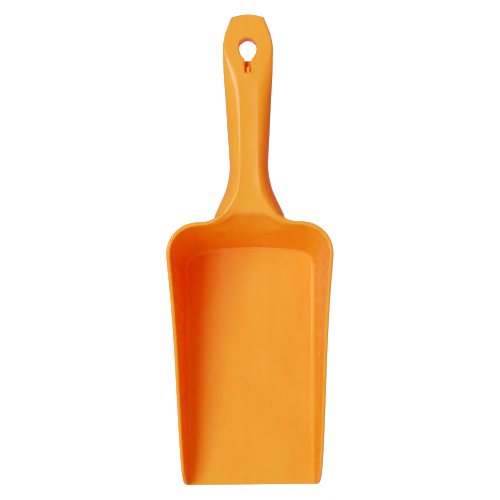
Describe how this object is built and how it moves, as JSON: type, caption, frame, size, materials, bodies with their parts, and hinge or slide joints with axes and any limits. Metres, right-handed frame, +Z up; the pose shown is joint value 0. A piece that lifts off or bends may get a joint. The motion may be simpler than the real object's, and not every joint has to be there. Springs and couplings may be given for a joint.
{
  "type": "hand scoop",
  "caption": "Open-fronted hand scoop: deep flat-floored bowl with a sloping rim, one-piece with a hollow dished handle that ends in a flat tab with a hanging hole.",
  "frame": {"origin": "on the resting plane under the floor, midway between the lip and the handle tip, on the centre plane", "axes": "+Y from the open lip to the handle tip, +Z up out of the bowl, +X across, so that X = 0 is the plane of symmetry"},
  "size_m": [0.1054, 0.31, 0.091],
  "materials": {
    "moulding_pp": "semi-gloss orange polypropylene, as moulded",
    "plug_pp": "semi-gloss orange polypropylene, as moulded"
  },
  "bodies": {
    "root": {"scoop_moulding": "moulding_pp", "gas_channel_plug": "plug_pp"}
  },
  "joints": []
}
